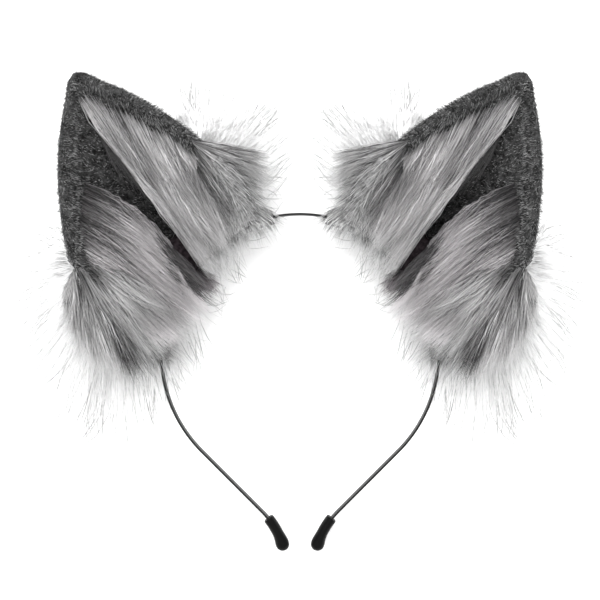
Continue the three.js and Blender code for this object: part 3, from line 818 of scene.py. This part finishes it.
def tones(base, lock_tone, rng, by_lock=0.17, by_fibre=0.12):
    """How light each fibre is, from 0 to 1. A few fibres are much darker than their lock."""
    count = len(lock_tone)
    dark = 0.5 * (rng.random(count) < 0.07)
    return np.clip(base + by_lock * lock_tone + by_fibre * rng.normal(size=count) - dark, 0, 1)


# Root across, up and behind, tip across, up and behind, and the bow.
UPPER_TUFT = [
    (-0.09, 0.91, 0, 0.21, 0.28, 0, -0.05),
    (-0.02, 0.925, 0, 0.23, -0.09, 0, 0.0),
    (0.14, 0.855, 0, 0.31, -0.07, 0, -0.05),
    (0.28, 0.785, 0, 0.40, -0.05, 0, -0.06),
    (0.42, 0.705, 0, 0.50, -0.02, 0, -0.04),
    (0.56, 0.615, 0, 0.60, 0.005, 0, -0.02),
    (0.69, 0.525, 0, 0.71, 0.02, 0, 0.0),
    (0.77, 0.46, 0, 0.81, 0.035, 0, 0.0),
]
LOWER_TUFT = [
    (-0.49, 0.58, 0, -0.08, -0.10, 0, 0.25),
    (-0.60, 0.54, 0, 0.00, -0.18, 0, 0.15),
    (-0.70, 0.49, 0, 0.10, -0.25, 0, 0.08),
    (-0.80, 0.42, 0, -0.02, -0.28, 0, 0.03),
    (-0.90, 0.34, 0, -0.28, -0.27, 0, 0.0),
    (-0.96, 0.26, 0, -0.52, -0.27, 0, 0.0),
]
# Short dark fibres in the gap between the two, and stray dark ones over the tufts' edges.
GAP_FUR = [
    (-0.24, 0.40, 0, -0.04, -0.05, 0, 0.0),
    (-0.16, 0.34, 0, 0.04, -0.11, 0, 0.0),
    (-0.10, 0.24, 0, 0.14, -0.16, 0, 0.0),
    (-0.04, 0.14, 0, 0.25, -0.15, 0, 0.0),
    (0.04, 0.06, 0, 0.33, -0.12, 0, 0.0),
]
STRAY_FUR = [
    (-0.10, 0.82, -0.003, -0.04, 0.34, -0.006, -0.02),
    (-0.04, 0.78, -0.005, 0.10, 0.20, -0.006, -0.03),
    (0.04, 0.74, -0.005, 0.24, 0.10, -0.008, -0.04),
    (0.30, 0.70, -0.004, 0.60, -0.04, -0.006, -0.05),
]
GAP_STRAYS = [
    (-0.05, 0.24, -0.008, 0.12, -0.06, -0.0135, 0.02),
    (-0.08, 0.16, -0.010, 0.20, -0.14, -0.0145, 0.0),
    (-0.12, 0.09, -0.012, 0.22, -0.20, -0.0150, 0.0),
    (-0.16, 0.03, -0.0125, 0.18, -0.23, -0.0150, 0.0),
]

upper_fur = fibre_material("upper_fur", grey(44, 1), grey(230, 2), grey(245), 0.3, 0.7)
lower_fur = fibre_material("lower_fur", grey(50, 1), grey(228, 4), grey(244, 4), 0.35, 0.5)
rng = np.random.default_rng(21)
paths, lock_tone, start, end, place = lay_fur(
    UPPER_TUFT,
    UPPER_FIBRES,
    rng,
    starts=(-0.03, 0.58),
    lengths=(0.38, 0.56),
    body=TUFT_BODY,
    locks=230,
    back_of=tuft_back,
    points=3,
)
upper_tuft = fibres(
    "upper_tuft_fur_left",
    paths,
    FIBRE_WIDTH * rng.uniform(0.7, 1.2, len(paths)),
    tones(
        # The first row's fibres, at the edge towards the lower tuft, are 0.06 darker: painted shade
        # on an edge lit from the side.
        np.interp(start, (-0.03, 0.02, 0.1), (0.42, 0.58, 0.62)) - 0.06 * (place < 0.9),
        lock_tone,
        rng,
    ),
    np.clip(0.15 + 0.6 * (end > 0.93), 0, 1),
    rng,
)
upper_tuft.data.materials.append(upper_fur)
rng = np.random.default_rng(24)
paths, *_ = lay_fur(
    STRAY_FUR,
    UPPER_STRAYS,
    rng,
    starts=(0.0, 0.6),
    lengths=(0.3, 0.45),
    body=STRAY_BODY,
    locks=90,
    wild=0.03,
    points=3,
)
stray = fibres(
    "stray",
    paths,
    FIBRE_WIDTH * rng.uniform(0.6, 0.9, len(paths)),
    np.full(len(paths), 0.05),
    np.zeros(len(paths)),
    rng,
)
stray.data.materials.append(upper_fur)
join_into(upper_tuft, stray)
rng = np.random.default_rng(22)
paths, lock_tone, start, end, place = lay_fur(
    LOWER_TUFT,
    LOWER_FIBRES,
    rng,
    starts=(-0.03, 0.56),
    lengths=(0.38, 0.56),
    body=TUFT_BODY,
    locks=200,
    back_of=tuft_back,
    points=3,
)
lower_tuft = fibres(
    "lower_tuft_fur_left",
    paths,
    FIBRE_WIDTH * rng.uniform(0.7, 1.2, len(paths)),
    tones(np.interp(start, (-0.03, 0.02, 0.07, 0.15), (0.0, 0.2, 0.6, 0.68)), lock_tone, rng),
    np.clip(0.25 + 0.7 * (end > 0.92) - 0.6 * (place < 0.8), 0, 1),
    rng,
)
lower_tuft.data.materials.append(lower_fur)
rng = np.random.default_rng(23)
paths, _, _, end, _ = lay_fur(
    GAP_FUR,
    GAP_FIBRES,
    rng,
    starts=(0.0, 0.75),
    lengths=(0.25, 0.45),
    body=0.8 * TUFT_BODY,
    locks=110,
    back_of=tuft_back,
    points=3,
)
gap_fur = fibres(
    "gap",
    paths + (0, 0.0005, 0),
    FIBRE_WIDTH * rng.uniform(0.9, 1.3, len(paths)),
    np.clip(1.6 * end - 1 + 0.3 * rng.normal(size=len(paths)), 0, 1),
    np.clip(2 * end - 1.1, 0, 1),
    rng,
)
gap_fur.data.materials.append(
    fibre_material("gap_fur", grey(22, 8), grey(150, 7), grey(190, 3), 0.6, 0.5)
)
rng = np.random.default_rng(25)
paths, _, start, _, _ = lay_fur(
    GAP_STRAYS,
    LOWER_STRAYS,
    rng,
    starts=(0.0, 0.6),
    lengths=(0.35, 0.5),
    body=STRAY_BODY,
    locks=100,
    points=3,
)
gap_strays = fibres(
    "gap_strays",
    paths,
    FIBRE_WIDTH * rng.uniform(0.6, 1.0, len(paths)),
    np.clip(0.1 * start + 0.08 * rng.normal(size=len(paths)), 0, 1),
    np.full(len(paths), 0.1),
    rng,
)
gap_strays.data.materials.append(lower_fur)
join_into(lower_tuft, gap_fur, gap_strays)
for fur, node in ((upper_tuft, "upper_tuft"), (lower_tuft, "lower_tuft")):
    lay_down(fur)
    keep_above_floor(fur)
    put_on(fur, node + "_left")
    put_on(other_side(fur), node + "_right")


# Fur collar, its backing: a padded sleeve of fur cloth that is stitched round the hoop under each
# ear and carries the long fur. Its core and the ruff round the ear's foot are joined by a remesh.
FOOT_FROM = math.radians(11)
FOOT_TO = math.radians(93)
FOOT_REACH = 0.024
FOOT_BELOW = 0.0032
FOOT_HALF_DEPTH = 0.011
FOOT_BACK = 0.004
RUFF = 0.003
RUFF_MIDDLE = 0.17  # of its slanted upper edge, as a share of the ear's height
RUFF_SLANT = 0.42
VOXEL = 0.0014
COAT_FIBRES = 3600
COAT_LENGTHS = (0.009, 0.017)
CROWN_BLEND = 0.012  # stretch on which the coat changes from the outer to the near fan
# Where the fur fans out from on the outer and the near side, as shares of the ear's size.
OUTER_FAN = (-0.95, 0.27)
NEAR_FAN = (0.76, 0.46)
# Place along the foot, then the shares of its reach and its depth.
FOOT_SECTIONS = np.array(
    [
        (0.0, 0.12, 0.42),
        (0.1, 0.36, 0.72),
        (0.3, 0.5, 1.0),
        (0.55, 0.72, 1.0),
        (0.75, 1.0, 0.95),
        (0.88, 0.72, 0.8),
        (1.0, 0.14, 0.42),
    ]
)


def foot_ring(along):
    """The padded foot's oval section at one place along the hoop."""
    angle = FOOT_FROM + (FOOT_TO - FOOT_FROM) * along
    reach = FOOT_REACH * on_curve(FOOT_SECTIONS, 1, along)
    depth = FOOT_HALF_DEPTH * on_curve(FOOT_SECTIONS, 2, along)
    turn = np.linspace(0, 2 * math.pi, 25)[:-1]
    radius = HOOP_RADIUS + (reach - FOOT_BELOW) / 2 + (reach + FOOT_BELOW) / 2 * np.cos(turn)
    back = FOOT_BACK * min(1, depth / FOOT_HALF_DEPTH) + depth * np.sin(turn)
    return np.stack((-math.sin(angle) * radius, back, math.cos(angle) * radius), axis=1)


sleeve = wrapped_grid(
    "fur_backing_left", np.array([foot_ring(along) for along in np.linspace(0, 1, 25)])
)
ruff = wrapped_grid(
    "ruff", np.array([shell_ring(height, RUFF) for height in np.linspace(0.04, 0.5, 14)])
)
slant = RUFF_SLANT * EAR_HEIGHT / (2 * EAR_HALF_WIDTH)
bpy.ops.object.mode_set(mode="EDIT")
bpy.ops.mesh.select_all(action="SELECT")
bpy.ops.mesh.bisect(
    plane_co=on_ear(0, RUFF_MIDDLE * EAR_HEIGHT, 0),
    plane_no=along_ear(-slant, 1),
    use_fill=True,
    clear_outer=True,
)
bpy.ops.object.mode_set(mode="OBJECT")
join_into(sleeve, ruff)
sleeve.data.remesh_voxel_size = VOXEL
bpy.ops.object.voxel_remesh()
sleeve.data.materials.clear()
sleeve.data.materials.append(cloth_material("collar_cloth", grey(90), grey(140)))
# Dark cloth for the faces at the bottom of the ear's cup, between the tufts: painted shade of that
# hollow.
sleeve.data.materials.append(cloth_material("collar_cup_shade_cloth", grey(12, 4), grey(44, 6)))
sleeve.data.shade_smooth()


def in_cup(places, facing):
    """Whether places on the sleeve are at the bottom of the ear's cup, between the two tufts."""
    across = (places - foot) @ along_ear(1, 0) / EAR_HALF_WIDTH
    up = (places - foot) @ along_ear(0, 1) / EAR_HEIGHT
    return (facing[..., 1] < 0.2) & (abs(across) < 0.36) & (up > -0.12)


# Faces at the bottom of the cup take the dark cloth, a painted shade between the tufts.
for face in sleeve.data.polygons:
    if in_cup(np.array(face.center), np.array(face.normal)):
        face.material_index = 1
rng = np.random.default_rng(29)
roots, facing = sprinkled(sleeve, COAT_FIBRES, rng)
outside = ~in_cup(roots, facing)
roots, facing = roots[outside], facing[outside]
near_crown = np.clip((roots - foot) @ along_ear(1, 0) / CROWN_BLEND + 0.5, 0, 1)
lean = np.zeros(roots.shape)
for fan, share in ((OUTER_FAN, 1 - near_crown), (NEAR_FAN, near_crown)):
    away = (roots - on_ear(fan[0] * EAR_HALF_WIDTH, fan[1] * EAR_HEIGHT, 0)) * (1, 0, 1)
    lean += share[:, None] * away / np.linalg.norm(away, axis=1, keepdims=True)
lean += (0, 0, -0.2) + 0.2 * facing + rng.normal(scale=0.12, size=roots.shape)
lean /= np.linalg.norm(lean, axis=1, keepdims=True)
# The coat is shorter and darker on the front of the sleeve, and shorter inside the hoop.
front = np.clip(np.maximum(-facing[:, 1] * 1.6, (0.002 - roots[:, 1]) / 0.006), 0, 1)
length = rng.uniform(*COAT_LENGTHS, len(roots)) * (1 - 0.5 * front)
inward = np.clip((HOOP_RADIUS + 0.003 - np.hypot(roots[:, 0], roots[:, 2])) / 0.004, 0, 1)
length *= 1 - 0.4 * inward * near_crown
steps = np.linspace(0, 1, 3)[:, None] * length[:, None, None]
paths = roots[:, None] + lean[:, None] * steps + facing[:, None] * (0.002 * np.sin(steps * 150))
front *= np.clip((-0.012 - roots[:, 0]) / 0.008, 0, 1) * (1 - 0.3 * inward * near_crown)
coat = fibres(
    "coat",
    paths,
    FIBRE_WIDTH * rng.uniform(0.8, 1.4, len(roots)),
    np.clip(1 - 0.7 * front + 0.14 * rng.normal(size=len(roots)), 0, 1),
    np.full(len(roots), 0.3),
    rng,
)
coat.data.materials.append(fibre_material("coat_fur", grey(60), grey(246), grey(250), 0.6, 0.6))
join_into(sleeve, coat)
lay_down(sleeve)
keep_above_floor(sleeve)
put_on(sleeve, "fur_collar_left")
twin = other_side(sleeve)
put_on(twin, "fur_collar_right")


# Fur collar, its front locks: grey fur that fans out from both ends of the ear's foot, down and
# outwards, over the rim's lower ends. The rows of the tables hold the same as the tufts' rows.
OUTER_FIBRES = 3500
NEAR_FIBRES = 3000
LOCK_BODY = 0.006
OUTER_LOBES = [
    (-0.99, 0.25, -0.005, -1.22, 0.17, -0.004, 0),
    (-0.99, 0.24, -0.010, -1.33, 0.09, -0.005, 0),
    (-0.98, 0.225, -0.014, -1.39, -0.01, -0.006, 0),
    (-0.97, 0.22, -0.0155, -1.37, -0.12, -0.007, 0),
    (-0.95, 0.215, -0.016, -1.29, -0.21, -0.008, 0),
    (-0.92, 0.21, -0.016, -1.13, -0.30, -0.008, 0),
    (-0.89, 0.205, -0.016, -0.94, -0.33, -0.008, 0),
    (-0.86, 0.20, -0.016, -0.73, -0.31, -0.008, 0),
    (-0.81, 0.19, -0.0155, -0.52, -0.28, -0.008, 0),
    (-0.73, 0.19, -0.0135, -0.30, -0.27, -0.008, 0),
    (-0.55, 0.15, -0.0120, -0.08, -0.26, -0.008, 0),
]
NEAR_LOBES = [
    (0.80, 0.475, -0.008, 1.24, 0.30, -0.004, 0),
    (0.79, 0.47, -0.012, 1.38, 0.27, -0.005, 0),
    (0.78, 0.46, -0.0145, 1.42, 0.21, -0.006, 0),
    (0.77, 0.45, -0.015, 1.27, 0.14, -0.007, 0),
    (0.76, 0.435, -0.0155, 1.09, 0.085, -0.008, 0),
    (0.74, 0.42, -0.0155, 0.93, 0.05, -0.009, 0),
    (0.71, 0.39, -0.0155, 0.80, 0.02, -0.010, 0),
    (0.64, 0.33, -0.015, 0.68, 0.0, -0.011, 0),
]
collar_fur = fibre_material("collar_fur", grey(48, 1), grey(216, 1), grey(250), 0.4, 0.55)
rng = np.random.default_rng(31)
outer, near = (
    lay_fur(
        table,
        count,
        rng,
        starts=starts,
        lengths=(0.5, 0.78),
        body=LOCK_BODY,
        locks=locks,
        points=3,
    )
    for table, count, starts, locks in (
        (OUTER_LOBES, OUTER_FIBRES, (0.0, 0.45), 150),
        (NEAR_LOBES, NEAR_FIBRES, (-0.03, 0.42), 130),
    )
)
paths, lock_tone, start, end, place = (np.concatenate(pair) for pair in zip(outer, near))
on_outer = np.arange(OUTER_FIBRES + NEAR_FIBRES) < OUTER_FIBRES
# Two groups of the outer locks are darker, one in its long fibres and the other in its short ones.
dark_end = on_outer * np.interp(place, (5.0, 5.6, 6.5, 7.1), (0, 1, 1, 0)) * (end > 0.8)
dark_end += 0.6 * on_outer * np.interp(place, (3.6, 4.2, 5.0, 5.6), (0, 1, 1, 0)) * (end < 0.8)
base = 0.5 + 0.14 * on_outer - 0.2 * (start < 0.06) - 0.4 * dark_end
lobes = fibres(
    "collar_lock_fur_left",
    paths,
    FIBRE_WIDTH * rng.uniform(0.7, 1.2, len(paths)),
    tones(base, lock_tone, rng),
    np.clip(end * 2.6 - 1.7, 0.1, 0.9) * (1 - np.clip(dark_end, 0, 1)),
    rng,
)
lobes.data.materials.append(collar_fur)
lay_down(lobes)
keep_above_floor(lobes)
put_on(lobes, "fur_collar_left")
put_on(other_side(lobes), "fur_collar_right")


# Fur collar, its white halo: long soft white fur behind each ear that spreads out flat all round,
# with fewer, longer guard hairs whose ends are black. They are laid along one table.
HALO_FIBRES = 2300
HALO_BODY = 0.007
GUARD_HAIRS = 500
GUARD_WIDTHS = (0.00016, 0.0004)
GUARD_BODY = 0.009
HALO = [
    (-0.92, 0.36, 0.000, -1.00, 0.58, 0.003, 0),
    (-0.94, 0.32, 0.000, -1.39, 0.51, 0.004, 0),
    (-0.95, 0.28, 0.001, -1.63, 0.39, 0.004, 0),
    (-0.94, 0.23, 0.001, -1.84, 0.235, 0.004, 0),
    (-0.93, 0.19, 0.001, -1.98, 0.07, 0.004, 0),
    (-0.92, 0.16, 0.001, -2.11, -0.08, 0.004, 0),
    (-0.90, 0.13, 0.001, -2.15, -0.24, 0.004, 0),
    (-0.88, 0.10, 0.001, -2.07, -0.41, 0.003, 0),
    (-0.84, 0.08, 0.001, -1.87, -0.53, 0.002, 0),
    (-0.78, 0.06, 0.001, -1.66, -0.60, 0.002, 0),
    (-0.70, 0.05, 0.001, -1.33, -0.58, 0.002, 0),
    (-0.58, 0.04, 0.002, -0.92, -0.53, 0.002, 0),
    (-0.38, 0.03, 0.003, -0.56, -0.46, 0.003, 0),
    (-0.10, 0.03, 0.004, -0.20, -0.38, 0.004, 0),
    (0.20, 0.04, 0.005, 0.15, -0.25, 0.005, 0),
    (0.45, 0.06, 0.005, 0.46, -0.15, 0.006, 0),
    (0.62, 0.10, 0.004, 0.82, -0.06, 0.006, 0),
    (0.74, 0.16, 0.003, 1.18, 0.03, 0.005, 0),
    (0.80, 0.22, 0.002, 1.55, 0.17, 0.005, 0),
    (0.84, 0.28, 0.002, 1.77, 0.31, 0.005, 0),
    (0.86, 0.33, 0.001, 1.84, 0.45, 0.005, 0),
    (0.86, 0.38, 0.001, 1.69, 0.52, 0.005, 0),
    (0.84, 0.42, 0.000, 1.53, 0.60, 0.004, 0),
    (0.82, 0.46, 0.000, 1.36, 0.69, 0.004, 0),
    (0.80, 0.50, 0.000, 1.14, 0.74, 0.004, 0),
    (0.76, 0.54, 0.000, 0.92, 0.76, 0.004, 0),
    (0.70, 0.57, 0.000, 0.72, 0.73, 0.004, 0),
]
halo_fur = fibre_material("halo_fur", grey(222), grey(254), grey(254), 0.9, 0.8)
guard_fur = fibre_material("guard_fur", grey(225), grey(252), grey(6), 0.95, -0.4)
rng = np.random.default_rng(41)
paths, lock_tone, *_ = lay_fur(
    HALO,
    HALO_FIBRES,
    rng,
    starts=(0.0, 0.42),
    lengths=(0.36, 0.54),
    body=HALO_BODY,
    locks=240,
    wild=0.07,
)
halo = fibres(
    "collar_halo_fur_left",
    paths,
    FIBRE_WIDTH * rng.uniform(0.6, 1.0, len(paths)),
    tones(0.6, lock_tone, rng),
    np.zeros(len(paths)),
    rng,
)
halo.data.materials.append(halo_fur)
rng = np.random.default_rng(42)
paths, lock_tone, *_ = lay_fur(
    HALO,
    GUARD_HAIRS,
    rng,
    starts=(0.42, 0.62),
    lengths=(0.5, 0.64),
    body=GUARD_BODY,
    locks=500,
)
guard = fibres(
    "guard",
    paths,
    rng.uniform(*GUARD_WIDTHS, len(paths)),
    tones(0.6, lock_tone, rng),
    rng.uniform(0.25, 1, len(paths)),
    rng,
    taper=0.4,
)
guard.data.materials.append(guard_fur)
join_into(halo, guard)
lay_down(halo)
keep_above_floor(halo)
put_on(halo, "fur_collar_left")
put_on(other_side(halo), "fur_collar_right")
